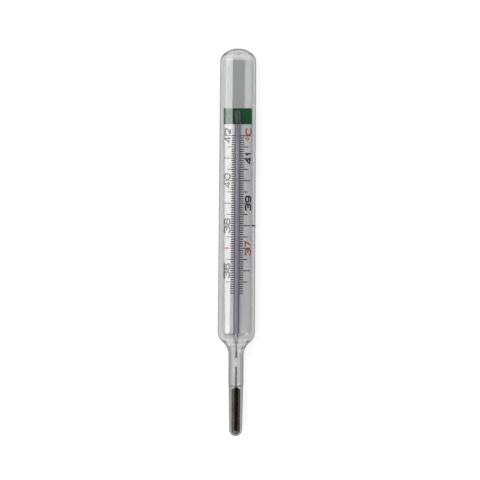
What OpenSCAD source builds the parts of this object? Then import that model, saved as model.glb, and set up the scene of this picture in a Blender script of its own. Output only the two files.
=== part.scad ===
// Clinical thermometer of the enclosed-scale flat type, lying on its back.
// Each piece is drawn upright on the stem's axis: the bulb's tip at zero, the
// reading face towards -Y. lay_down() then sets the piece on its back.

/* [Overall] */
// Length from the bulb's tip to the top of the dome
overall_length = 130; // [118:1:150]

/* [Sheath] */
// Width of the oval tube where the dome begins
sheath_w_dome = 12.15; // [11.5:0.05:13.5]
// Width of the oval tube where the shoulder begins
sheath_w_shoulder = 12.55; // [11.5:0.05:13.5]
// Thickness of the oval, from the front face to the back face
sheath_t = 7.4; // [6.8:0.1:8.6]
// Radius of the gently curved front and back faces
face_r = 11.15; // [9.5:0.05:14]
// Depth of the flat that is ground along the back
back_flat_cut = 0.2; // [0.1:0.05:0.4]
// Thickness of the sheath's glass
sheath_wall = 0.7; // [0.5:0.05:0.9]
// Height by which the foot of the sheath's inside is filled where it is fused to the neck
root_h = 3; // [0.5:0.1:3.2]
// Height of the domed top
dome_h = 4.5; // [3.5:0.1:6]
// Thickness of the glass at the top of the dome
dome_wall = 1.4; // [1:0.1:3]
// Radius of the shoulder's upper, convex bend
shoulder_r = 4.4; // [3:0.1:6]
// Radius of the shoulder's lower, concave bend
fillet_r = 5.8; // [4:0.1:8]

/* [Neck and bulb] */
// Diameter of the neck
neck_d = 5.15; // [4.6:0.05:6]
// Length of the neck from the bulb's seam to the sheath's mouth
neck_length = 10.55; // [9.8:0.05:14]
// Length of the flare from the bulb's seam to the full neck
seam_flare = 0.9; // [0.4:0.05:1.5]
// Length of the bulb from its tip to the seam
bulb_length = 16.6; // [12:0.1:20]
// Diameter of the bulb at the seam
bulb_d = 4.92; // [4.5:0.02:5.5]
// Diameter of the bulb's round tip
bulb_tip_d = 4.4; // [3.8:0.05:5]
// Length of the neck's plug inside the sheath's mouth
spigot_length = 3.4; // [1.5:0.1:3.6]
// Height of the cone from the plug up to the capillary
spigot_cone_h = 1.3; // [0.8:0.1:2]
// Gap between the plug and the sheath's mouth
spigot_gap = 0.03; // [0.02:0.01:0.1]

/* [Capillary and bore] */
// Diameter of the capillary tube
capillary_d = 1.9; // [1.5:0.05:2.4]
// Diameter of the bore in the neck
bore_d = 0.44; // [0.4:0.02:0.7]
// Width of the flat bore in the capillary, which makes the thread look broad from the front
flat_bore_w = 0.84; // [0.6:0.02:1]
// Thickness of the flat bore in the capillary
flat_bore_t = 0.3; // [0.24:0.02:0.4]
// Glass above the bore at the capillary's closed end
bore_end_wall = 1.6; // [1:0.1:3]
// Height above the seam at which the bore begins to narrow
constriction_start = 6.9; // [5:0.1:7]
// Length of the narrowed stretch of bore
constriction_length = 2.6; // [1.5:0.1:3]
// Diameter of the bore at its narrowest
constriction_d = 0.12; // [0.08:0.01:0.2]

/* [Mercury] */
// Diameter of the bulb's hollow
bulb_hollow_d = 2; // [1.2:0.05:2.6]
// Glass below the hollow at the bulb's tip
bulb_tip_wall = 1.1; // [0.7:0.05:1.6]
// Glass between the top of the hollow and the seam
bulb_top_wall = 0.2; // [0.1:0.05:0.8]
// Height of the cone between the hollow and the bore
throat_h = 0.6; // [0.3:0.05:1.2]
// Film between the mercury and the wall of the bulb's hollow
mercury_film = 0.02; // [0.01:0.01:0.05]
// Gap all round between the mercury thread and the bore
thread_gap = 0.05; // [0.02:0.01:0.08]
// Length of the thread's moving head
head_length = 5; // [3:0.5:8]
// Temperature at which the thread stands
reading_c = 42; // [36:0.1:42]

/* [Scale plate] */
// Thickness of the scale plate
plate_t = 0.35; // [0.25:0.05:0.5]
// Gap between the capillary and the plate
plate_gap = 0.1; // [0.06:0.02:0.2]
// Gap between each long edge of the plate and the sheath
plate_side_gap = 0.06; // [0.04:0.02:0.3]
// Height of the plate's lower edge above the sheath's mouth
plate_above_mouth = 7.2; // [6.2:0.1:8]
// Radius of the plate's two lower corners
plate_corner_r = 1.2; // [0.9:0.1:2]
// Clear length of sheath between the plate and the dome
head_space = 15.4; // [5:0.1:20]
// Height of the green band at the plate's upper edge
band_h = 5.4; // [3:0.1:7]
// Distance from the plate's upper edge down to the capillary's top
capillary_drop = 0.6; // [0.2:0.1:2]
// Thickness of the print on the plate
print_t = 0.03; // [0.01:0.01:0.04]

/* [Scale] */
// Lowest temperature on the scale
scale_low_c = 35; // [34:1:36]
// Highest temperature on the scale
scale_high_c = 42; // [41:1:43]
// Distance from the plate's lower edge to the lowest line
scale_low_margin = 13.55; // [10:0.05:20]
// Distance from the highest line to the plate's upper edge
scale_high_margin = 9.25; // [8:0.05:12]
// Thickness of the scale's lines
line_w = 0.3; // [0.12:0.02:0.4]
// Distance from the axis to the inner end of each line
line_inner = 0.75; // [0.5:0.05:1.2]
// Distance from the axis to the outer end of a tenth's line
tenth_reach = 2.15; // [1.8:0.05:2.6]
// Distance from the axis to the outer end of a half degree's line
half_reach = 3.5; // [2.8:0.05:3.8]
// Distance from the axis to the outer end of a whole degree's line
whole_reach = 4.5; // [4:0.05:4.6]

/* [Marks] */
// Temperature of the red fever mark
fever_c = 37; // [36:0.5:39]
// Distance from the axis to the fever mark's dot
fever_dot_x = 3.35; // [2.8:0.05:3.8]
// Diameter of the fever mark's dot
fever_dot_d = 0.9; // [0.5:0.05:1.2]
// Temperature against which the datum mark stands
datum_c = 38; // [36:0.5:41]
// Height of the datum mark
datum_h = 0.5; // [0.3:0.05:1]
// Thickness of the datum mark's enamel
datum_t = 0.05; // [0.03:0.01:0.1]
// Angle that the datum mark reaches round the edge towards the front
datum_front = 55; // [30:1:65]
// Angle that the datum mark reaches round the edge towards the back
datum_back = 10; // [0:1:30]

/* [Hidden] */
$fn = 72;

// Points round one ring of the sheath, and rings along its bends
ring_points = 56;
bend_rings = 7;
dome_rings = 9;
// How far each cut runs past the face that it opens
cut_over = 0.1;
lines_per_degree = 10;

half_t = sheath_t / 2;
axis_height = half_t - back_flat_cut;
neck_r = neck_d / 2;
capillary_r = capillary_d / 2;
bore_r = bore_d / 2;
thread_r = bore_r - thread_gap;
ribbon_w = flat_bore_w - 2 * thread_gap;
ribbon_t = flat_bore_t - 2 * thread_gap;
hollow_r = bulb_hollow_d / 2;
spigot_r = (neck_r - sheath_wall) * cos(180 / ring_points) - spigot_gap;

// Levels along the stem, from the bulb's tip
seam_z = bulb_length;
mouth_z = seam_z + neck_length;
capillary_z = mouth_z + spigot_length + spigot_cone_h;
narrow_low_z = seam_z + constriction_start;
narrow_high_z = narrow_low_z + constriction_length;
dome_z = overall_length - dome_h;
plate_low_z = mouth_z + plate_above_mouth;
plate_high_z = dome_z - head_space;
capillary_top_z = plate_high_z - capillary_drop;
bore_top_z = capillary_top_z - bore_end_wall;

// The shoulder is two equal arcs of turn that meet where the slope is steepest
shoulder_step = sheath_w_shoulder / 2 - neck_r;
shoulder_turn = acos(1 - shoulder_step / (shoulder_r + fillet_r));
shoulder_z = mouth_z + (shoulder_r + fillet_r) * sin(shoulder_turn);

// The scale fills what its two margins leave of the plate
scale_low_z = plate_low_z + scale_low_margin;
scale_high_z = plate_high_z - scale_high_margin;
degree_pitch = (scale_high_z - scale_low_z) / (scale_high_c - scale_low_c);
head_z = level(reading_c);
head_foot_z = head_z - head_length;

// The plate's long edges stop short of the sheath's inner wall at its narrow end
plate_front_y = capillary_r + plate_gap;
plate_back_y = plate_front_y + plate_t;
plate_half_w = inner_half_width(sheath_w_dome / 2, plate_back_y) - plate_side_gap;

// Height of a temperature on the scale
function level(celsius) = scale_low_z + (celsius - scale_low_c) * degree_pitch;

// Half width of the sheath at a level of its straight, slightly tapered run
function half_width(z) =
    let (share = (z - shoulder_z) / (dome_z - shoulder_z))
    sheath_w_shoulder / 2 + share * (sheath_w_dome - sheath_w_shoulder) / 2;

// Radius of the oval's edges that joins two faces of radius r without a kink
function edge_r(a, b, r) = (2 * r * b - a * a - b * b) / (2 * (r - a));

// Half width of the sheath's inside at a depth y behind the axis
function inner_half_width(a, y) =
    let (e = edge_r(a, half_t, face_r), inner_e = e - sheath_wall)
    a - e + sqrt(inner_e * inner_e - y * y);

// Point of a four-arc oval where its outside faces the given direction
function oval_point(a, b, r, angle) =
    let (
        e = edge_r(a, b, r),
        c = abs(cos(angle)),
        s = abs(sin(angle)),
        on_edge = atan2(s, c) <= atan2(r - b, a - e),
        p = on_edge ? [a - e + e * c, e * s] : [r * c, r * s - r + b]
    )
    [sign(cos(angle)) * p[0], sign(sin(angle)) * p[1]];

// Moves a point that lies behind the ground flat onto it, the outermost to its edge
function flat_point(p, inset) =
    let (
        r = face_r - inset,
        flat_half = sqrt(r * r - pow(r - back_flat_cut, 2)),
        step = 360 / ring_points,
        outermost = r * sin(step * max(1, floor(asin(flat_half / r) / step)))
    )
    [p[0] * flat_half / outermost, axis_height - inset];

// One ring of the sheath: an oval with a flat back, drawn share of the way out
// from a circle of radius round_r, and shrunk by size towards the dome's top
function ring(a, inset, round_r, share, size, z) = [
    for (i = [0 : ring_points - 1])
        let (
            angle = 360 * i / ring_points,
            p = oval_point(a - inset, half_t - inset, face_r - inset, angle),
            oval = p[1] > axis_height - inset ? flat_point(p, inset) : p,
            circle = round_r * [cos(angle), sin(angle)],
            q = size * (circle + share * (oval - circle))
        )
        [q[0], q[1], z]
];

// Half width and level along the shoulder, inset from its outside
function shoulder_profile(inset) = concat(
    [for (k = [0 : bend_rings])
        let (turn = shoulder_turn * k / bend_rings, r = fillet_r + inset)
        [neck_r - inset + r * (1 - cos(turn)), mouth_z + r * sin(turn)]],
    [for (k = [bend_rings - 1 : -1 : 0])
        let (turn = shoulder_turn * k / bend_rings, r = shoulder_r - inset)
        [sheath_w_shoulder / 2 - inset - r * (1 - cos(turn)), shoulder_z - r * sin(turn)]]
);

// All rings of one side of the sheath's wall, from the mouth to below the dome's top.
// Above the mouth itself they are raised by up to foot, less and less up the shoulder
function wall_rings(inset, top_h, foot) = concat(
    [for (p = shoulder_profile(inset))
        let (
            share = (p[0] - neck_r + inset) / shoulder_step,
            raise = p[1] > mouth_z ? foot * (1 - share) : 0
        )
        ring(sheath_w_shoulder / 2, inset, neck_r - inset, share, 1, p[1] + raise)],
    [for (k = [0 : dome_rings - 1])
        let (rise = 90 * k / dome_rings)
        ring(sheath_w_dome / 2, inset, 0, 1, cos(rise), dome_z + top_h * sin(rise))]
);

// Triangles between the rings of one side of the wall and up to its top point
function skin(first, rings, top, outside) = [
    for (k = [0 : rings - 1], i = [0 : ring_points - 1])
        let (
            j = (i + 1) % ring_points,
            here = first + k * ring_points,
            next = here + ring_points,
            last = k == rings - 1,
            lower = [here + i, last ? top : next + j, here + j],
            upper = [here + i, next + i, next + j]
        )
        for (t = last ? [lower] : [lower, upper])
            outside ? t : [t[2], t[1], t[0]]
];

// Stands an upright piece's axis along +Y, with its back on the floor
module lay_down() {
    translate([0, -overall_length / 2, axis_height])
        rotate([-90, 0, 0])
            children();
}

// Extrudes an outline in the plate's own plane, from a depth towards the back
module on_plane(depth, thickness) {
    translate([0, depth + thickness, 0])
        rotate([90, 0, 0])
            linear_extrude(thickness)
                children();
}

// Print that lies on the plate's front
module printed() {
    lay_down()
        on_plane(plate_front_y - print_t, print_t)
            children();
}

// A round rod between two levels
module rod(low, high, r) {
    translate([0, 0, low])
        cylinder(h = high - low, r = r);
}

// A round taper between two levels
module taper(low, high, low_r, high_r) {
    translate([0, 0, low])
        cylinder(h = high - low, r1 = low_r, r2 = high_r);
}

// A rod whose upper end, lower end or both are round
module round_rod(low, high, r, round_low, round_high) {
    rod(round_low ? low + r : low, round_high ? high - r : high, r);
    if (round_low)
        translate([0, 0, low + r])
            sphere(r);
    if (round_high)
        translate([0, 0, high - r])
            sphere(r);
}

// A flat rod with round sides between two levels
module flat_rod(low, high, w, t) {
    side_x = (w - t) / 2;
    translate([0, 0, low])
        linear_extrude(high - low) {
            square([2 * side_x, t], center = true);
            for (side = [-1, 1])
                translate([side * side_x, 0])
                    circle(t / 2);
        }
}

// A flat rod whose upper end bulges up in an arc of radius w, as a meniscus does
module domed_flat_rod(low, high, w, t) {
    intersection() {
        flat_rod(low, high + cut_over, w, t);
        on_plane(-t, 2 * t) {
            translate([-w, low - cut_over])
                square([2 * w, high - w - low + cut_over]);
            translate([0, high - w])
                circle(w);
        }
    }
}

// The bulb's hollow with its cone up to the bore, drawn in by a film all round
module bulb_hollow(film) {
    top = seam_z - bulb_top_wall;
    r = hollow_r - film;
    round_rod(bulb_tip_wall + film, top - throat_h, r, true, false);
    taper(top - throat_h, top, r, bore_r - film);
}

module sheath() {
    outer = wall_rings(0, dome_h, 0);
    inner = wall_rings(sheath_wall, dome_h - dome_wall, root_h);
    rings = len(outer);
    inner_first = rings * ring_points;
    outer_top = 2 * inner_first;
    inner_top = outer_top + 1;
    tops = [[0, 0, overall_length], [0, 0, overall_length - dome_wall]];
    points = concat([for (r = outer) each r], [for (r = inner) each r], tops);
    rim = [
        for (i = [0 : ring_points - 1])
            let (j = (i + 1) % ring_points)
            for (t = [[i, j, inner_first + j], [i, inner_first + j, inner_first + i]])
                t
    ];
    walls = concat(skin(0, rings, outer_top, true), skin(inner_first, rings, inner_top, false));
    color([0.80, 0.85, 0.84, 0.4])
        lay_down()
            polyhedron(points, concat(walls, rim), convexity = 4);
}

module neck() {
    middle = (narrow_low_z + narrow_high_z) / 2;
    narrow_r = constriction_d / 2;
    plug_z = mouth_z + spigot_length;
    color([0.74, 0.79, 0.78, 0.5])
        lay_down()
            difference() {
                union() {
                    taper(seam_z, seam_z + seam_flare, bulb_d / 2, neck_r);
                    rod(seam_z + seam_flare, mouth_z, neck_r);
                    rod(mouth_z, plug_z, spigot_r);
                    taper(plug_z, capillary_z, spigot_r, capillary_r);
                }
                rod(seam_z - cut_over, narrow_low_z, bore_r);
                taper(narrow_low_z, middle, bore_r, narrow_r);
                taper(middle, narrow_high_z, narrow_r, bore_r);
                rod(narrow_high_z, capillary_z + cut_over, bore_r);
            }
}

module bulb() {
    tip_r = bulb_tip_d / 2;
    color([0.70, 0.73, 0.74, 0.5])
        lay_down()
            difference() {
                union() {
                    translate([0, 0, tip_r])
                        sphere(tip_r);
                    taper(tip_r, seam_z, tip_r, bulb_d / 2);
                }
                bulb_hollow(0);
                rod(seam_z - bulb_top_wall, seam_z + cut_over, bore_r);
            }
}

module capillary() {
    color([0.62, 0.62, 0.68, 0.5])
        lay_down()
            difference() {
                round_rod(capillary_z, capillary_top_z, capillary_r, false, true);
                domed_flat_rod(capillary_z - cut_over, bore_top_z, flat_bore_w, flat_bore_t);
            }
}

module bulb_mercury() {
    color([0.22, 0.21, 0.22])
        lay_down() {
            bulb_hollow(mercury_film);
            round_rod(seam_z - bulb_top_wall, narrow_low_z, thread_r, false, true);
            round_rod(narrow_high_z, capillary_z, thread_r, true, false);
        }
}

module mercury_thread() {
    color([0.35, 0.34, 0.38])
        lay_down()
            flat_rod(capillary_z, head_foot_z, ribbon_w, ribbon_t);
}

module mercury_head() {
    color([0.35, 0.34, 0.38])
        lay_down()
            domed_flat_rod(head_foot_z, head_z, ribbon_w, ribbon_t);
}

module scale_plate() {
    straight_z = plate_low_z + plate_corner_r;
    corner_x = plate_half_w - plate_corner_r;
    color([0.86, 0.86, 0.84])
        lay_down()
            on_plane(plate_front_y, plate_t) {
                translate([-plate_half_w, straight_z])
                    square([2 * plate_half_w, plate_high_z - straight_z]);
                translate([-corner_x, plate_low_z])
                    square([2 * corner_x, plate_corner_r]);
                for (side = [-1, 1])
                    translate([side * corner_x, straight_z])
                        circle(plate_corner_r);
            }
}

module green_band() {
    color([0.05, 0.30, 0.16])
        printed()
            translate([-plate_half_w, plate_high_z - band_h])
                square([2 * plate_half_w, band_h]);
}

// One line of the scale on one side of the axis, between two distances from it
module scale_line(celsius, side, from, to) {
    low_x = side > 0 ? from : -to;
    translate([low_x, level(celsius) - line_w / 2])
        square([to - from, line_w]);
}

module graduations() {
    count = (scale_high_c - scale_low_c) * lines_per_degree;
    color([0.20, 0.20, 0.21])
        printed()
            for (k = [0 : count], side = [-1, 1]) {
                celsius = scale_low_c + k / lines_per_degree;
                whole = k % lines_per_degree == 0 && k > 0;
                half = k % lines_per_degree == lines_per_degree / 2;
                fever = celsius == fever_c && side < 0;
                reach = fever ? tenth_reach : whole ? whole_reach : half ? half_reach : tenth_reach;
                scale_line(celsius, side, line_inner, reach);
            }
}

module fever_mark() {
    color([0.50, 0.10, 0.12])
        printed() {
            scale_line(fever_c, -1, tenth_reach, whole_reach);
            translate([-fever_dot_x, level(fever_c)])
                circle(d = fever_dot_d);
        }
}

module datum_mark() {
    z = level(datum_c);
    a = half_width(z);
    e = edge_r(a, half_t, face_r);
    color([0.10, 0.12, 0.30])
        lay_down()
            translate([a - e, 0, z - datum_h / 2])
                rotate([0, 0, -datum_front])
                    rotate_extrude(angle = datum_front + datum_back)
                        translate([e, 0])
                            square([datum_t, datum_h]);
}

sheath();
neck();
bulb();
capillary();
bulb_mercury();
mercury_thread();
mercury_head();
scale_plate();
green_band();
graduations();
fever_mark();
datum_mark();
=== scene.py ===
"""Looks of a flat clinical thermometer that lies on its back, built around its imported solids."""

import math

import bpy
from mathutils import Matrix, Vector


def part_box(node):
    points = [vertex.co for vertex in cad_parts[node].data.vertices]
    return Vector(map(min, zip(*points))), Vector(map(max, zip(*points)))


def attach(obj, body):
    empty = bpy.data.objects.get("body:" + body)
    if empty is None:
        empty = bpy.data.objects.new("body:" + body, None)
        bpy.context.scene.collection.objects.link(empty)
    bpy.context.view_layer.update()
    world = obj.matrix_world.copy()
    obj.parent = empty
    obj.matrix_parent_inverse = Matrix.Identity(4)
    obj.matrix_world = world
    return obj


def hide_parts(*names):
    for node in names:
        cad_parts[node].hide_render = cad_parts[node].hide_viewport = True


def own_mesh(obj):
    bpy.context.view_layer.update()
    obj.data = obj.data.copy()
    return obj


MM = 0.001
PHOTO_SIZE = 480

# The sheath's section and bends, in millimetres as on the solids
FACE_R = 11.15
BACK_FLAT_CUT = 0.2
SHEATH_WALL = 0.7
SHEATH_TAPER = 0.2
DOME_H = 4.5
DOME_WALL = 1.4
SHOULDER_R = 4.4
FILLET_R = 5.8
# Height by which the foot of the hollow is filled, less than on the solid so that it looks soft
ROOT_H = 1.0
# Length of the neck's plug, which is the floor of the hollow
SPIGOT_LENGTH = 3.4

# The stem, in millimetres as on the solids
SEAM_FLARE = 0.9
BULB_TIP_R = 2.2
BORE_R = 0.22
NARROW_R = 0.06
THREAD_GAP = 0.05
HOLLOW_R = 1.0
BULB_TIP_WALL = 1.1
BULB_TOP_WALL = 0.2
THROAT_H = 0.6
BORE_END_WALL = 1.6
CONSTRICTION_START = 6.9
CONSTRICTION_LENGTH = 2.6
# Ripples of the joint line above the bulb, which the solids don't have
RIPPLE_H = 0.16
RIPPLE_COUNT = 2.5
# Width of the groove left between the neck's plug and the sheath
GROOVE_W = 0.1
# Length over which the round bore turns into the flat one
BORE_CHANGE = 0.4
# Height above the sheath's mouth up to which glass belongs to the stem
STEM_REACH = 5.2
# Distance from the axis, in capillary radii, up to which glass belongs to the capillary
CAPILLARY_REACH = 1.02
# Overlap by which the mercury wets the glass round it
WETTING = 0.01
# Height of the dome on the mercury's head
HEAD_DOME_H = 0.3

# Steps of the smooth surfaces
RING_POINTS = 128
BEND_STEPS = 20
RUN_STEPS = 24
SHARP_ANGLE = math.radians(40)

# The scale and its lettering, in millimetres
LINE_W = 0.3
DEGREE_LOW = 35
DEGREE_HIGH = 42
DIGIT_H = 2.25
DIGIT_W = 2.3
DIGIT_GAP = 0.45
STROKE_W = 0.5
# Stroke width of the small ring
RING_STROKE_W = 0.3
# Shortest step along a stroke, steps in a rounded corner, and what limits the length of a mitre
STROKE_STEP = 0.001
ROUNDING_STEPS = 8
MITRE_LIMIT = 0.45
INK_T = 0.03
LEFT_BASELINE = -2.2
RIGHT_BASELINE = 4.8
LEFT_DEGREES = (42, 40, 38, 36)
RIGHT_DEGREES = (41, 39)
FEVER_DEGREE = 37
# Degrees by which the sign stands above the highest line
SIGN_SHIFT = 0.06

# Each character's width as a share of a digit's, and its strokes: corners across and up, their
# rounding, and whether the stroke is closed
CHARACTERS = {
    "0": (1.0, [([(0, 0), (1, 0), (1, 1), (0, 1)], 0.5, True)]),
    "1": (0.6, [([(0, 0.68), (0.62, 1), (0.62, 0)], 0, False)]),
    "2": (
        1.0,
        [
            ([(0, 0.68), (0, 1), (1, 1), (1, 0.52), (0, 0)], 0.4, False),
            ([(0, 0), (1, 0)], 0, False),
        ],
    ),
    "3": (
        1.0,
        [
            ([(0, 0.74), (0, 1), (1, 1), (1, 0.54), (0.32, 0.54)], 0.26, False),
            ([(0.32, 0.54), (1, 0.54), (1, 0), (0, 0), (0, 0.26)], 0.3, False),
        ],
    ),
    "4": (1.0, [([(0.72, 0), (0.72, 1), (0, 0.27), (1, 0.27)], 0, False)]),
    "6": (
        1.0,
        [
            ([(0, 0), (1, 0), (1, 0.58), (0, 0.58)], 0.32, True),
            ([(0, 0.3), (0, 1), (1, 1), (1, 0.8)], 0.4, False),
        ],
    ),
    "7": (0.95, [([(0, 1), (1, 1), (0.3, 0)], 0, False)]),
    "8": (
        1.0,
        [
            ([(0, 0), (1, 0), (1, 0.54), (0, 0.54)], 0.3, True),
            ([(0.05, 0.54), (0.95, 0.54), (0.95, 1), (0.05, 1)], 0.26, True),
        ],
    ),
    "9": (
        1.0,
        [
            ([(0, 0.42), (1, 0.42), (1, 1), (0, 1)], 0.32, True),
            ([(1, 0.7), (1, 0), (0, 0), (0, 0.2)], 0.4, False),
        ],
    ),
    "C": (1.05, [([(1, 0.72), (1, 1), (0, 1), (0, 0), (1, 0), (1, 0.28)], 0.45, False)]),
    "°": (0.5, [([(0, 0.55), (1, 0.55), (1, 1), (0, 1)], 0.22, True)]),
}

# Places of the kinds of glass among the envelope's materials
SHEATH, STEM, CAPILLARY, FOOT, HOLLOW = range(5)
GLASS_IOR = 1.5
# Slants, from 0 face on to 1 edge on, over which painted shade turns the glass grey, and again at
# its outline
SHADED_SLANT_RANGE = (0.10, 0.22)
SHADED_OUTLINE_RANGE = (0.35, 0.60)
# Brightness of the outline's painted shade as a share of the slanted glass's, outside and in the
# sheath's hollow
OUTLINE_SHADE = 0.15
HOLLOW_SHADE = 1.0
# Tone of mercury's darker spots as a share of the others'
DARK_SPOTS = 0.85
INK_GLOSS = 0.12

# The camera looks straight down, as in the photograph, where the object is 387.6 pixels long
OBJECT_PIXELS = 387.6
LENS_MM = 85.0
SENSOR_MM = 36.0
VIEW_CENTRE_X = 1.04
VIEW_CENTRE_Y = 0.8
VIEW_ROLL_DEG = 0.4

# An oval soft light on the left, whose mirror image on the sheath narrows towards the bulb. Its
# lengths are in metres, as are those of the other lights and the floor
SOFTBOX_TILT = math.radians(32)
SOFTBOX_DISTANCE = 0.35
SOFTBOX_Y = 0.096
SOFTBOX_WIDTH = 0.165
SOFTBOX_LENGTH = 0.374
SOFTBOX_RADIANCE = 4.0
# Two boxes at the ends of the stem, whose light the sheath doesn't mirror to the camera
END_BOX_Y = 0.4
END_BOX_Z = 0.457
END_BOX_WIDTH = 0.9
END_BOX_DEPTH = 0.5
END_BOX_RADIANCE = 1.4
# The room's brightness overhead and at the horizon, and its share on the left and the right
ROOM_OVERHEAD = 0.03
ROOM_HORIZON = 0.7
ROOM_LEFT = 3.4
ROOM_RIGHT = 0.1
# Sines of the heights between which the white horizon fades into the room
HORIZON_LOW = 0.2
HORIZON_HIGH = 0.3
# The floor's own colour, and what is added to it where it is seen
FLOOR_COLOUR = 0.35
FLOOR_LIFT = 0.72
FLOOR_REACH = 3.0
FLOOR_DROP = 0.00002

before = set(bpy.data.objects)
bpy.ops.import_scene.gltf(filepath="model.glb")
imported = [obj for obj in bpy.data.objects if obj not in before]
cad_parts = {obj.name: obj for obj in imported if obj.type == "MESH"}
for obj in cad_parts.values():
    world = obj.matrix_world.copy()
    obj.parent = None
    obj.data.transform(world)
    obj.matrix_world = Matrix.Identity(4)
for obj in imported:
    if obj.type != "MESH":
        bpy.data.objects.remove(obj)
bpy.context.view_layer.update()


def corners(name):
    """A solid's lowest and highest corners in millimetres."""
    lo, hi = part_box(name)
    return Vector(lo) / MM, Vector(hi) / MM


TIP_Y = corners("bulb")[0].y
SEAM_Y = corners("bulb")[1].y
MOUTH_Y = corners("sheath")[0].y
TOP_Y = corners("sheath")[1].y
DOME_Y = TOP_Y - DOME_H
CAPILLARY_Y, CAPILLARY_TOP_Y = (c.y for c in corners("capillary"))
THREAD_LOW, THREAD_HIGH = corners("mercury_thread")
HEAD_LOW, HEAD_HIGH = corners("mercury_head")
AXIS_Z = (THREAD_LOW.z + THREAD_HIGH.z) / 2
FLAT_BORE_W = THREAD_HIGH.x - THREAD_LOW.x + 2 * THREAD_GAP
FLAT_BORE_T = THREAD_HIGH.z - THREAD_LOW.z + 2 * THREAD_GAP
NECK_R = corners("neck")[1].x
BULB_R = corners("bulb")[1].x
CAPILLARY_R = corners("capillary")[1].x
HALF_T = corners("sheath")[1].z - AXIS_Z
LOW_HALF_W = corners("sheath")[1].x
TOP_HALF_W = LOW_HALF_W - SHEATH_TAPER
NARROW_LOW_Y = SEAM_Y + CONSTRICTION_START
NARROW_HIGH_Y = NARROW_LOW_Y + CONSTRICTION_LENGTH
PLATE_FRONT_Z = corners("scale_plate")[1].z
SCALE_LOW_Y = corners("graduations")[0].y + LINE_W / 2
SCALE_HIGH_Y = corners("graduations")[1].y - LINE_W / 2


def level(celsius):
    """Place of a temperature along the stem."""
    share = (celsius - DEGREE_LOW) / (DEGREE_HIGH - DEGREE_LOW)
    return SCALE_LOW_Y + share * (SCALE_HIGH_Y - SCALE_LOW_Y)


# Rings round the stem's axis, which the smooth surfaces are stretched between


def steps(count):
    """Shares from 0 to 1, both ends included."""
    return [k / count for k in range(count + 1)]


def angles():
    """Directions round a ring, from the right edge towards the front."""
    return [2 * math.pi * i / RING_POINTS for i in range(RING_POINTS)]


def placed(y, points):
    """Points of a section, set at a level along the stem."""
    return [Vector((x, y, AXIS_Z + z)) * MM for x, z in points]


def circle(y, r):
    """A round section."""
    return placed(y, [(r * math.cos(a), r * math.sin(a)) for a in angles()])


def flat_section(y, w, t):
    """A flat section with round sides."""
    side = (w - t) / 2
    points = []
    for a in angles():
        points.append((math.copysign(side, math.cos(a)) + t / 2 * math.cos(a), t / 2 * math.sin(a)))
    return placed(y, points)


def between(first, second, share):
    """A section part of the way from one to another."""
    return [p.lerp(q, share) for p, q in zip(first, second)]


def oval_point(a, b, r, angle):
    """Point of a four-arc oval where its outside faces the given direction."""
    edge = (2 * r * b - a * a - b * b) / (2 * (r - a))
    c = abs(math.cos(angle))
    s = abs(math.sin(angle))
    if math.atan2(s, c) <= math.atan2(r - b, a - edge):
        x, z = a - edge + edge * c, edge * s
    else:
        x, z = r * c, r * s - r + b
    return math.copysign(x, math.cos(angle)), math.copysign(z, math.sin(angle))


def oval(y, half_w, inset, shrink=1.0):
    """The sheath's section, with the flat that is ground along its back."""
    points = []
    for angle in angles():
        x, z = oval_point(half_w - inset, HALF_T - inset, FACE_R - inset, angle)
        z = max(z, BACK_FLAT_CUT + inset - HALF_T)
        points.append((shrink * x, shrink * z))
    return placed(y, points)


def round_end(y, r, flip=False):
    """Sections of a round end that starts at a point and reaches radius r, or the reverse."""
    rings = []
    for t in steps(BEND_STEPS)[1:]:
        turn = math.pi / 2 * t
        reach = r * (1 - math.cos(turn))
        rings.append(circle(y - reach if flip else y + reach, r * math.sin(turn)))
    return rings[::-1] if flip else rings


def run(low, high, low_r, high_r):
    """Sections of a straight or tapered round run, without its first one."""
    rings = []
    for t in steps(RUN_STEPS)[1:]:
        rings.append(circle(low + t * (high - low), low_r + t * (high_r - low_r)))
    return rings


def shoulder(inset, foot):
    """Sections from the sheath's mouth up the shoulder's two bends, raised at their foot."""
    drop = LOW_HALF_W - NECK_R
    turn = math.acos(1 - drop / (SHOULDER_R + FILLET_R))
    top_y = MOUTH_Y + (SHOULDER_R + FILLET_R) * math.sin(turn)
    low_r = FILLET_R + inset
    high_r = SHOULDER_R - inset
    profile = []
    for t in steps(BEND_STEPS):
        profile.append((MOUTH_Y + low_r * math.sin(turn * t), low_r * (1 - math.cos(turn * t))))
    for t in reversed(steps(BEND_STEPS)[:-1]):
        y = top_y - high_r * math.sin(turn * t)
        profile.append((y, drop - high_r * (1 - math.cos(turn * t))))
    rings = []
    for y, out in profile:
        share = out / drop
        raised = y + foot * (1 - share) ** 2 if y > MOUTH_Y else y
        low = circle(raised, NECK_R - inset)
        rings.append(between(low, oval(raised, LOW_HALF_W, inset), share))
    return rings


def sheath_side(inset, dome_h, foot):
    """Sections of one side of the sheath's wall, from the mouth to just below the dome's top."""
    rings = shoulder(inset, foot)
    low_y = rings[-1][0].y / MM
    for t in steps(RUN_STEPS)[1:]:
        rings.append(oval(low_y + t * (DOME_Y - low_y), LOW_HALF_W - t * SHEATH_TAPER, inset))
    for t in steps(BEND_STEPS)[1:-1]:
        rise = math.pi / 2 * t
        rings.append(oval(DOME_Y + dome_h * math.sin(rise), TOP_HALF_W, inset, math.cos(rise)))
    return rings


def axis_point(y):
    """Point on the stem's axis."""
    return Vector((0, y, AXIS_Z)) * MM


# Meshes


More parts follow.
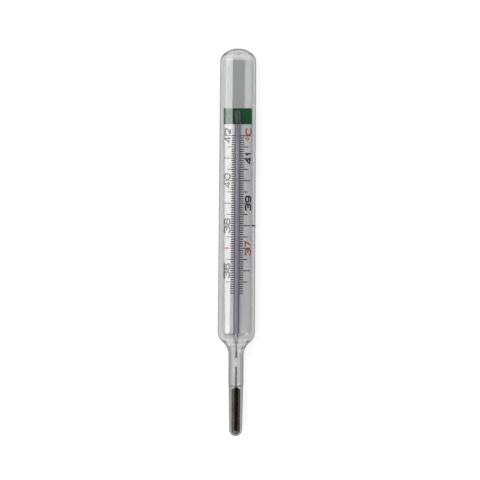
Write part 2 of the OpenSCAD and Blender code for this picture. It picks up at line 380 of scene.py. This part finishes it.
class Skin:
    """Collects closed shells that make one mesh."""

    def __init__(self):
        self.points = []
        self.faces = []

    def shell(self, first_y, rings, last_y, inward=False):
        """A closed surface from one point on the axis through sections to another."""
        n = RING_POINTS
        start = len(self.points)
        end = start + 1 + n * len(rings)
        self.points.append(axis_point(first_y))
        for points in rings:
            self.points.extend(points)
        self.points.append(axis_point(last_y))
        made = []
        for i in range(n):
            j = (i + 1) % n
            made.append((start, start + 1 + j, start + 1 + i))
            for k in range(len(rings) - 1):
                low = start + 1 + k * n
                made.append((low + i, low + j, low + n + j, low + n + i))
            made.append((end - n + i, end - n + j, end))
        self.faces.extend(f if inward else f[::-1] for f in made)

    def make(self, name):
        """The mesh object, smooth but for its sharp corners."""
        mesh = bpy.data.meshes.new(name)
        mesh.from_pydata([tuple(p) for p in self.points], [], self.faces)
        mesh.shade_smooth()
        mesh.set_sharp_from_angle(angle=SHARP_ANGLE)
        return link(bpy.data.objects.new(name, mesh))


def link(obj):
    """Puts an object into the scene."""
    bpy.context.collection.objects.link(obj)
    return obj


def stem_outside():
    """Sections of the bulb and neck, from the bulb's tip to below the sheath's mouth."""
    rings = round_end(TIP_Y, BULB_TIP_R)
    rings += run(TIP_Y + BULB_TIP_R, SEAM_Y, BULB_TIP_R, BULB_R)
    for t in steps(BEND_STEPS)[1:]:
        ease = t * t * (3 - 2 * t)
        ripple = -RIPPLE_H * math.sin(math.pi * t) * abs(math.sin(RIPPLE_COUNT * math.pi * t))
        rings.append(circle(SEAM_Y + t * SEAM_FLARE, BULB_R + ease * (NECK_R - BULB_R) + ripple))
    rings += run(SEAM_Y + SEAM_FLARE, MOUTH_Y, NECK_R, NECK_R)[:-1]
    return rings


def capillary_outside():
    """Sections from the bottom of the sheath's hollow up the capillary to its round top."""
    foot_y = MOUTH_Y + SPIGOT_LENGTH
    flare = NECK_R - SHEATH_WALL - GROOVE_W - CAPILLARY_R
    rings = []
    for t in steps(BEND_STEPS):
        y = foot_y + t * (CAPILLARY_Y - foot_y)
        rings.append(circle(y, CAPILLARY_R + flare * (1 - t) ** 2))
    rings += run(CAPILLARY_Y, CAPILLARY_TOP_Y - CAPILLARY_R, CAPILLARY_R, CAPILLARY_R)
    rings += round_end(CAPILLARY_TOP_Y, CAPILLARY_R, flip=True)[1:]
    return rings


def bore():
    """Sections of the bulb's hollow and the bore up to the capillary's closed end."""
    top = SEAM_Y - BULB_TOP_WALL
    middle = (NARROW_LOW_Y + NARROW_HIGH_Y) / 2
    rings = round_end(TIP_Y + BULB_TIP_WALL, HOLLOW_R)
    rings.append(circle(top - THROAT_H, HOLLOW_R))
    rings.append(circle(top, BORE_R))
    rings.append(circle(NARROW_LOW_Y, BORE_R))
    rings.append(circle(middle, NARROW_R))
    rings.append(circle(NARROW_HIGH_Y, BORE_R))
    rings.append(circle(CAPILLARY_Y - BORE_CHANGE, BORE_R))
    rings.append(flat_section(CAPILLARY_Y, FLAT_BORE_W, FLAT_BORE_T))
    rings.append(flat_section(CAPILLARY_TOP_Y - BORE_END_WALL, FLAT_BORE_W, FLAT_BORE_T))
    return rings


def glass_kind(spot, in_hollow):
    """Which kind of glass a face has, from its middle and whether the hollow shows it."""
    if spot.y < MOUTH_Y + STEM_REACH:
        return FOOT if in_hollow else STEM
    if math.hypot(spot.x, spot.z - AXIS_Z) < CAPILLARY_REACH * CAPILLARY_R:
        return CAPILLARY
    return HOLLOW if in_hollow else SHEATH


def make_glass():
    """The fused glass: its outside, the sheath's hollow round the capillary, and the bore."""
    skin = Skin()
    skin.shell(TIP_Y, stem_outside() + sheath_side(0.0, DOME_H, 0.0), TOP_Y)
    floor_y = (MOUTH_Y + SPIGOT_LENGTH) * MM
    wall = sheath_side(SHEATH_WALL, DOME_H - DOME_WALL, ROOT_H)
    wall = [ring for ring in wall if ring[0].y > floor_y]
    outer_count = len(skin.faces)
    skin.shell(TOP_Y - DOME_WALL, wall[::-1] + capillary_outside(), CAPILLARY_TOP_Y)
    hollow_faces = range(outer_count, len(skin.faces))
    skin.shell(TIP_Y + BULB_TIP_WALL, bore(), CAPILLARY_TOP_Y - BORE_END_WALL, inward=True)
    obj = skin.make("glass_envelope")
    for face in obj.data.polygons:
        face.material_index = glass_kind(face.center / MM, face.index in hollow_faces)
    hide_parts("sheath", "neck", "bulb", "capillary")
    return obj


def make_bulb_fill():
    """The mercury that stays: in the bulb and in the neck on both sides of the constriction."""
    r = HOLLOW_R + WETTING
    thread_r = BORE_R + WETTING
    low = TIP_Y + BULB_TIP_WALL - WETTING
    top = SEAM_Y - BULB_TOP_WALL
    skin = Skin()
    rings = round_end(low, r) + run(low + r, top - THROAT_H, r, r)
    rings += run(top - THROAT_H, top, r, thread_r)
    rings += run(top, NARROW_LOW_Y - thread_r, thread_r, thread_r)
    rings += round_end(NARROW_LOW_Y, thread_r, flip=True)[1:]
    skin.shell(low, rings, NARROW_LOW_Y)
    change_y = CAPILLARY_Y - BORE_CHANGE
    rings = round_end(NARROW_HIGH_Y, thread_r)
    rings += run(NARROW_HIGH_Y + thread_r, change_y, thread_r, thread_r)
    rings.append(ribbon_section(CAPILLARY_Y))
    skin.shell(NARROW_HIGH_Y, rings, CAPILLARY_Y)
    obj = skin.make("bulb_fill")
    for face in obj.data.polygons:
        face.material_index = int(face.center.y > top * MM)
    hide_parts("bulb_mercury")
    return obj


def ribbon_section(y, shrink=1.0):
    """Section of the mercury that fills the flat bore."""
    wide = FLAT_BORE_W + 2 * WETTING
    thick = FLAT_BORE_T + 2 * WETTING
    return flat_section(y, shrink * wide, shrink * thick)


def ribbon_run(low, high):
    """Sections of a straight length of the flat bore's mercury."""
    return [ribbon_section(low + t * (high - low)) for t in steps(RUN_STEPS)]


def make_thread():
    """The mercury thread in the flat bore."""
    skin = Skin()
    skin.shell(THREAD_LOW.y, ribbon_run(THREAD_LOW.y, THREAD_HIGH.y), THREAD_HIGH.y)
    obj = skin.make("thread_ribbon")
    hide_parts("mercury_thread")
    return obj


def make_head():
    """The mercury's head, with its domed end."""
    dome_y = HEAD_HIGH.y - HEAD_DOME_H
    rings = ribbon_run(HEAD_LOW.y, dome_y)
    for t in steps(BEND_STEPS)[1:-1]:
        rise = math.pi / 2 * t
        rings.append(ribbon_section(dome_y + HEAD_DOME_H * math.sin(rise), math.cos(rise)))
    skin = Skin()
    skin.shell(HEAD_LOW.y, rings, HEAD_HIGH.y)
    obj = skin.make("thread_head")
    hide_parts("mercury_head")
    return obj


def shorten_thread(obj):
    """Gives the thread a mesh of its own."""
    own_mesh(obj)


# Lettering, drawn with strokes of even width


def rounded(points, radius, closed):
    """A stroke's points with its corners rounded off."""
    count = len(points)
    path = []
    for k, corner in enumerate(points):
        at_end = not closed and k in (0, count - 1)
        if at_end or radius == 0:
            path.append(corner)
            continue
        before = points[k - 1] - corner
        after = points[(k + 1) % count] - corner
        reach = min(radius, before.length / 2, after.length / 2)
        first = corner + before.normalized() * reach
        last = corner + after.normalized() * reach
        for t in steps(ROUNDING_STEPS):
            path.append((1 - t) ** 2 * first + 2 * t * (1 - t) * corner + t * t * last)
    return without_repeats(path, closed)


def without_repeats(path, closed):
    """A path without points that lie on the one before, as where two roundings meet."""
    kept = []
    for point in path:
        if not kept or (point - kept[-1]).length > STROKE_STEP:
            kept.append(point)
    if closed and (kept[0] - kept[-1]).length <= STROKE_STEP:
        kept.pop()
    return kept


def sides(path, closed, width):
    """Left and right edges of a stroke along a path, mitred at its corners."""
    count = len(path)
    pairs = []
    for k, point in enumerate(path):
        before = path[k - 1] if closed or k > 0 else None
        after = path[(k + 1) % count] if closed or k < count - 1 else None
        into = (point - before).normalized() if before is not None else (after - point).normalized()
        out = (after - point).normalized() if after is not None else into
        along = (into + out).normalized()
        across = Vector((-along.y, along.x)) * width / 2
        across /= max(along.dot(into), MITRE_LIMIT)
        pairs.append((point + across, point - across))
    return pairs


def printed(point, height, baseline, at):
    """Place of a character's point, at a height above the plate, in a word along the stem."""
    return Vector((baseline - point.y, at + point.x, PLATE_FRONT_Z + height)) * MM


class Lettering:
    """Collects words that make one mesh of printed strokes."""

    def __init__(self):
        self.points = []
        self.faces = []

    def stroke(self, path, closed, width, baseline, at):
        """A printed stroke that lies on the plate, closed all round."""
        pairs = sides(path, closed, width)
        start = len(self.points)
        for left, right in pairs:
            for edge, height in ((left, 0), (left, INK_T), (right, INK_T), (right, 0)):
                self.points.append(printed(edge, height, baseline, at))
        last = len(pairs) if closed else len(pairs) - 1
        for k in range(last):
            here = start + 4 * k
            there = start + 4 * ((k + 1) % len(pairs))
            for side in range(4):
                turn = (side + 1) % 4
                self.faces.append((here + side, here + turn, there + turn, there + side))
        if not closed:
            end = start + 4 * last
            self.faces.append((start + 3, start + 2, start + 1, start))
            self.faces.append((end, end + 1, end + 2, end + 3))

    def word(self, text, celsius, baseline):
        """A word that reads from the bulb towards the top and is centred on a temperature."""
        widths = [CHARACTERS[c][0] * DIGIT_W for c in text]
        at = level(celsius) - (sum(widths) + DIGIT_GAP * (len(text) - 1)) / 2
        for letter, width in zip(text, widths):
            pen = RING_STROKE_W if letter == "°" else STROKE_W
            inner_w = width - pen
            inner_h = DIGIT_H - pen
            corner = Vector((pen / 2, pen / 2))
            for spots, radius, closed in CHARACTERS[letter][1]:
                drawn = [corner + Vector((u * inner_w, v * inner_h)) for u, v in spots]
                path = rounded(drawn, radius * inner_h, closed)
                self.stroke(path, closed, pen, baseline, at)
            at += width + DIGIT_GAP

    def make(self, name):
        """The mesh object, with flat faces."""
        mesh = bpy.data.meshes.new(name)
        mesh.from_pydata([tuple(p) for p in self.points], [], self.faces)
        return link(bpy.data.objects.new(name, mesh))


def make_black_numerals():
    """The black numerals on both sides of the capillary."""
    lettering = Lettering()
    for celsius in LEFT_DEGREES:
        lettering.word(str(celsius), celsius, LEFT_BASELINE)
    for celsius in RIGHT_DEGREES:
        lettering.word(str(celsius), celsius, RIGHT_BASELINE)
    return lettering.make("numerals_black")


def make_red_numerals():
    """The red numeral at the fever mark, and the sign for degrees."""
    lettering = Lettering()
    lettering.word(str(FEVER_DEGREE), FEVER_DEGREE, RIGHT_BASELINE)
    lettering.word("°C", DEGREE_HIGH + SIGN_SHIFT, RIGHT_BASELINE)
    return lettering.make("numerals_red")


# Materials


def joined(tree, operation, first, second):
    """The result of an operation on two values."""
    node = tree.nodes.new("ShaderNodeMath")
    node.operation = operation
    tree.links.new(first, node.inputs[0])
    tree.links.new(second, node.inputs[1])
    return node.outputs[0]


def mapped(tree, value, from_low, from_high, low, high):
    """A value moved from one range to another."""
    node = tree.nodes.new("ShaderNodeMapRange")
    node.inputs["From Min"].default_value = from_low
    node.inputs["From Max"].default_value = from_high
    node.inputs["To Min"].default_value = low
    node.inputs["To Max"].default_value = high
    tree.links.new(value, node.inputs["Value"])
    return node.outputs["Result"]


def seen(tree):
    """1 for what is seen, directly, in a mirror or through glass, and 0 for what only lights."""
    ray = tree.nodes.new("ShaderNodeLightPath").outputs
    indirect = joined(tree, "MAXIMUM", ray["Is Glossy Ray"], ray["Is Transmission Ray"])
    return joined(tree, "MAXIMUM", ray["Is Camera Ray"], indirect)


class Material:
    """A material with short ways to add nodes to it."""

    def __init__(self, name):
        self.material = bpy.data.materials.new(name)
        self.material.use_nodes = True
        self.tree = self.material.node_tree
        self.shader = self.tree.nodes["Principled BSDF"]

    def set(self, socket, value):
        """Sets the shader's socket to a constant."""
        self.shader.inputs[socket].default_value = value

    def feed(self, output, socket):
        """Feeds the shader's socket from another node."""
        self.tree.links.new(output, self.shader.inputs[socket])

    def spread(self, value, low, high, from_low=0.0, from_high=1.0):
        """A value moved from one range to another."""
        return mapped(self.tree, value, from_low, from_high, low, high)

    def noise(self, scale, stretch=(1, 1, 1)):
        """A noise over the object, finer along the axes that are stretched more."""
        coordinates = self.tree.nodes.new("ShaderNodeTexCoord")
        mapping = self.tree.nodes.new("ShaderNodeMapping")
        mapping.inputs["Scale"].default_value = stretch
        texture = self.tree.nodes.new("ShaderNodeTexNoise")
        texture.inputs["Scale"].default_value = scale
        self.tree.links.new(coordinates.outputs["Object"], mapping.inputs["Vector"])
        self.tree.links.new(mapping.outputs["Vector"], texture.inputs["Vector"])
        return texture.outputs["Fac"]

    def depth(self, front_z, back_z):
        """Share of the way from one height down to another, both in millimetres."""
        coordinates = self.tree.nodes.new("ShaderNodeTexCoord")
        split = self.tree.nodes.new("ShaderNodeSeparateXYZ")
        self.tree.links.new(coordinates.outputs["Object"], split.inputs["Vector"])
        return self.spread(split.outputs["Z"], 0, 1, front_z * MM, back_z * MM)

    def mix(self, factor, first, second):
        """A colour between two others."""
        node = self.tree.nodes.new("ShaderNodeMix")
        node.data_type = "RGBA"
        for socket, value in (("A", first), ("B", second)):
            if isinstance(value, tuple):
                node.inputs[socket].default_value = (*value, 1)
            else:
                self.tree.links.new(value, node.inputs[socket])
        self.tree.links.new(factor, node.inputs["Factor"])
        return node.outputs["Result"]

    def bump(self, height, strength, distance):
        """Makes the surface uneven by a height."""
        node = self.tree.nodes.new("ShaderNodeBump")
        node.inputs["Strength"].default_value = strength
        node.inputs["Distance"].default_value = distance
        self.tree.links.new(height, node.inputs["Height"])
        self.feed(node.outputs["Normal"], "Normal")


def glass(name, clear, back, depth, edge, shade=OUTLINE_SHADE):
    """Drawn glass with faint streaks, and painted shade that greys it at its back, at a slant and
    most at its outline.
    """
    made = Material(name)
    facing = made.tree.nodes.new("ShaderNodeLayerWeight").outputs["Facing"]
    # Painted shade: the clear colour turns grey towards the floor, then at a slant, then at the
    # outline
    colour = made.mix(made.depth(*depth), clear, back)
    colour = made.mix(made.spread(facing, 0, 1, *SHADED_SLANT_RANGE), colour, edge)
    outline = tuple(shade * c for c in edge)
    colour = made.mix(made.spread(facing, 0, 1, *SHADED_OUTLINE_RANGE), colour, outline)
    made.feed(colour, "Base Color")
    made.set("Transmission Weight", 1.0)
    made.set("IOR", GLASS_IOR)
    made.feed(made.spread(made.noise(300), low=0.0, high=0.012), "Roughness")
    made.bump(made.noise(900, stretch=(1, 0.03, 1)), strength=0.02, distance=0.0001)
    return made.material


def mercury(name, tone, metallic, polish):
    """Liquid metal between two grades of polish."""
    made = Material(name)
    darker = tuple(DARK_SPOTS * c for c in tone)
    made.feed(made.mix(made.noise(500), darker, tone), "Base Color")
    made.set("Metallic", metallic)
    made.feed(made.spread(made.noise(900), *polish), "Roughness")
    return made.material


def ink(name, dark, light, roughness):
    """Printed colour, a little uneven in tone and height."""
    made = Material(name)
    made.feed(made.mix(made.noise(900), dark, light), "Base Color")
    made.set("Roughness", roughness)
    made.set("Specular IOR Level", INK_GLOSS)
    made.bump(made.noise(4000), strength=0.1, distance=0.00002)
    return made.material


def opal():
    """The scale plate's milky glass."""
    made = Material("opal_glass")
    made.feed(made.mix(made.noise(150), (0.80, 0.79, 0.81), (0.86, 0.85, 0.87)), "Base Color")
    made.feed(made.spread(made.noise(700), low=0.3, high=0.45), "Roughness")
    made.bump(made.noise(1200), strength=0.05, distance=0.00002)
    return made.material


def dress(obj, *materials):
    """Gives an object its materials. Clearing old ones also clears which face has which."""
    if obj.data.materials:
        obj.data.materials.clear()
    for material in materials:
        obj.data.materials.append(material)


def dress_glass(envelope):
    """The envelope's kinds of glass, in the order of their places."""
    # Each back and edge colour is painted shade, greying the clear glass towards the floor and at a
    # slant
    wall = {"clear": (0.98, 0.985, 0.985), "back": (0.44, 0.455, 0.45), "depth": (3.0, 0.8)}
    sheath = glass("sheath_glass_drawn", **wall, edge=(0.44, 0.44, 0.44))
    stem = glass(
        "stem_glass_drawn",
        clear=(0.95, 0.955, 0.955),
        back=(0.39, 0.40, 0.40),
        depth=(3.0, 1.0),
        edge=(0.36, 0.36, 0.362),
    )
    capillary = glass(
        "capillary_glass_drawn",
        clear=(0.97, 0.95, 0.98),
        back=(0.95, 0.93, 0.97),
        depth=(5.5, 0.8),
        edge=(0.42, 0.40, 0.44),
    )
    foot = glass(
        "foot_glass_drawn",
        clear=(0.98, 0.985, 0.985),
        back=(0.90, 0.91, 0.91),
        depth=(3.0, 0.8),
        edge=(0.92, 0.92, 0.925),
        shade=HOLLOW_SHADE,
    )
    hollow = glass("hollow_glass_drawn", **wall, edge=(0.68, 0.68, 0.68), shade=HOLLOW_SHADE)
    dress(envelope, sheath, stem, capillary, foot, hollow)


def dress_mercury(fill, ribbons):
    """One mercury in three tones: painted shade makes it near black in the bulb, and painted light
    makes it grey in the neck and a pale lilac in the flat thread.
    """
    bulb_metal_painted_shade = mercury("bulb_mercury", (0.065, 0.054, 0.046), metallic=1.0, polish=(0.04, 0.12))
    neck_metal_painted_light = mercury("neck_mercury_painted_light", (0.22, 0.21, 0.21), metallic=0.5, polish=(0.2, 0.35))
    dress(fill, bulb_metal_painted_shade, neck_metal_painted_light)
    thread_metal_painted_light = mercury("thread_mercury_painted_light", (0.66, 0.61, 0.72), metallic=0.2, polish=(0.4, 0.55))
    for piece in ribbons:
        dress(piece, thread_metal_painted_light)


def dress_print(black_numerals, red_numerals):
    """The plate, what is printed on it, and the mark on the sheath's edge."""
    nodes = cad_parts
    black = ink("black_ink", (0.010, 0.010, 0.011), (0.025, 0.025, 0.026), roughness=0.5)
    red = ink("red_ink", (0.54, 0.14, 0.16), (0.66, 0.19, 0.21), roughness=0.5)
    green = ink("green_ink", (0.0, 0.08, 0.023), (0.0, 0.115, 0.034), roughness=0.5)
    blue = ink("blue_enamel", (0.006, 0.008, 0.03), (0.01, 0.014, 0.05), roughness=0.2)
    for piece in (black_numerals, nodes["graduations"]):
        dress(piece, black)
    for piece in (red_numerals, nodes["fever_mark"]):
        dress(piece, red)
    dress(nodes["green_band"], green)
    dress(nodes["datum_mark"], blue)
    dress(nodes["scale_plate"], opal())


# Floor, light and camera


def make_floor():
    """A pale floor that is white to the eye and keeps the object's shadow."""
    r = FLOOR_REACH
    mesh = bpy.data.meshes.new("floor")
    mesh.from_pydata([(-r, -r, 0), (r, -r, 0), (r, r, 0), (-r, r, 0)], [], [(0, 1, 2, 3)])
    obj = link(bpy.data.objects.new("floor", mesh))
    obj.location.z = -FLOOR_DROP
    made = Material("pale_floor")
    made.set("Base Color", (FLOOR_COLOUR, FLOOR_COLOUR, FLOOR_COLOUR, 1))
    made.set("Roughness", 0.9)
    made.set("Specular IOR Level", 0.0)
    made.set("Emission Color", (1, 1, 1, 1))
    made.feed(made.spread(seen(made.tree), 0, FLOOR_LIFT), "Emission Strength")
    dress(obj, made.material)


def make_softbox(name, shape, place, width, depth, radiance):
    """A soft light of even brightness that faces down until it is turned."""
    fill = math.pi / 4 if shape == "ELLIPSE" else 1
    lamp = bpy.data.lights.new(name, "AREA")
    lamp.shape = shape
    lamp.size = width
    lamp.size_y = depth
    lamp.energy = radiance * math.pi * width * depth * fill
    obj = link(bpy.data.objects.new(name, lamp))
    obj.location = place
    return obj


def make_lights():
    """The key light on the left and two fills at the ends of the stem."""
    key_x = -SOFTBOX_DISTANCE * math.sin(SOFTBOX_TILT)
    key_z = SOFTBOX_DISTANCE * math.cos(SOFTBOX_TILT)
    place = (key_x, SOFTBOX_Y, key_z)
    size = (SOFTBOX_WIDTH, SOFTBOX_LENGTH)
    key = make_softbox("softbox", "ELLIPSE", place, *size, SOFTBOX_RADIANCE)
    key.rotation_euler.y = -SOFTBOX_TILT
    tilt = math.atan2(END_BOX_Y, END_BOX_Z)
    for name, end in (("top_box", 1), ("bulb_box", -1)):
        place = (0, end * END_BOX_Y, END_BOX_Z)
        size = (END_BOX_WIDTH, END_BOX_DEPTH)
        fill = make_softbox(name, "RECTANGLE", place, *size, END_BOX_RADIANCE)
        fill.rotation_euler.x = -end * tilt


def make_room():
    """Soft light from all round, dimmer overhead and on the right, with a white horizon."""
    world = bpy.data.worlds.new("room")
    world.use_nodes = True
    bpy.context.scene.world = world
    tree = world.node_tree
    coordinates = tree.nodes.new("ShaderNodeTexCoord")
    split = tree.nodes.new("ShaderNodeSeparateXYZ")
    tree.links.new(coordinates.outputs["Generated"], split.inputs["Vector"])
    height = split.outputs["Z"]
    upward = mapped(tree, height, 0, 1, ROOM_HORIZON, ROOM_OVERHEAD)
    across = mapped(tree, split.outputs["X"], -1, 1, ROOM_LEFT, ROOM_RIGHT)
    horizon = mapped(tree, height, HORIZON_LOW, HORIZON_HIGH, 1, 0)
    room = joined(tree, "MULTIPLY", upward, across)
    white = joined(tree, "MULTIPLY", seen(tree), horizon)
    background = tree.nodes["Background"]
    background.inputs["Color"].default_value = (1, 1, 1, 1)
    tree.links.new(joined(tree, "MAXIMUM", room, white), background.inputs["Strength"])


def make_camera():
    """A camera above the object that frames it as the photograph does."""
    camera = bpy.data.cameras.new("camera")
    camera.lens = LENS_MM
    camera.sensor_width = SENSOR_MM
    pixel = (TOP_Y - TIP_Y) / OBJECT_PIXELS
    distance = PHOTO_SIZE * pixel * LENS_MM / SENSOR_MM
    obj = link(bpy.data.objects.new("camera", camera))
    obj.location = Vector((VIEW_CENTRE_X, VIEW_CENTRE_Y, AXIS_Z + distance)) * MM
    obj.rotation_euler.z = math.radians(VIEW_ROLL_DEG)
    bpy.context.scene.camera = obj


# Build

envelope = make_glass()
bulb_fill = make_bulb_fill()
thread = make_thread()
head = make_head()
black_numerals = make_black_numerals()
red_numerals = make_red_numerals()

slots = {
    envelope: "sheath_glass",
    bulb_fill: "mercury",
    thread: "mercury",
    black_numerals: "black_print",
    red_numerals: "red_print",
}
for piece, slot in slots.items():
    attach(piece, "thermometer")
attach(head, "reading")
shorten_thread(thread)

dress_glass(envelope)
dress_mercury(bulb_fill, (thread, head))
dress_print(black_numerals, red_numerals)

make_floor()
make_lights()
make_room()
make_camera()
bpy.context.scene.view_settings.view_transform = "Standard"
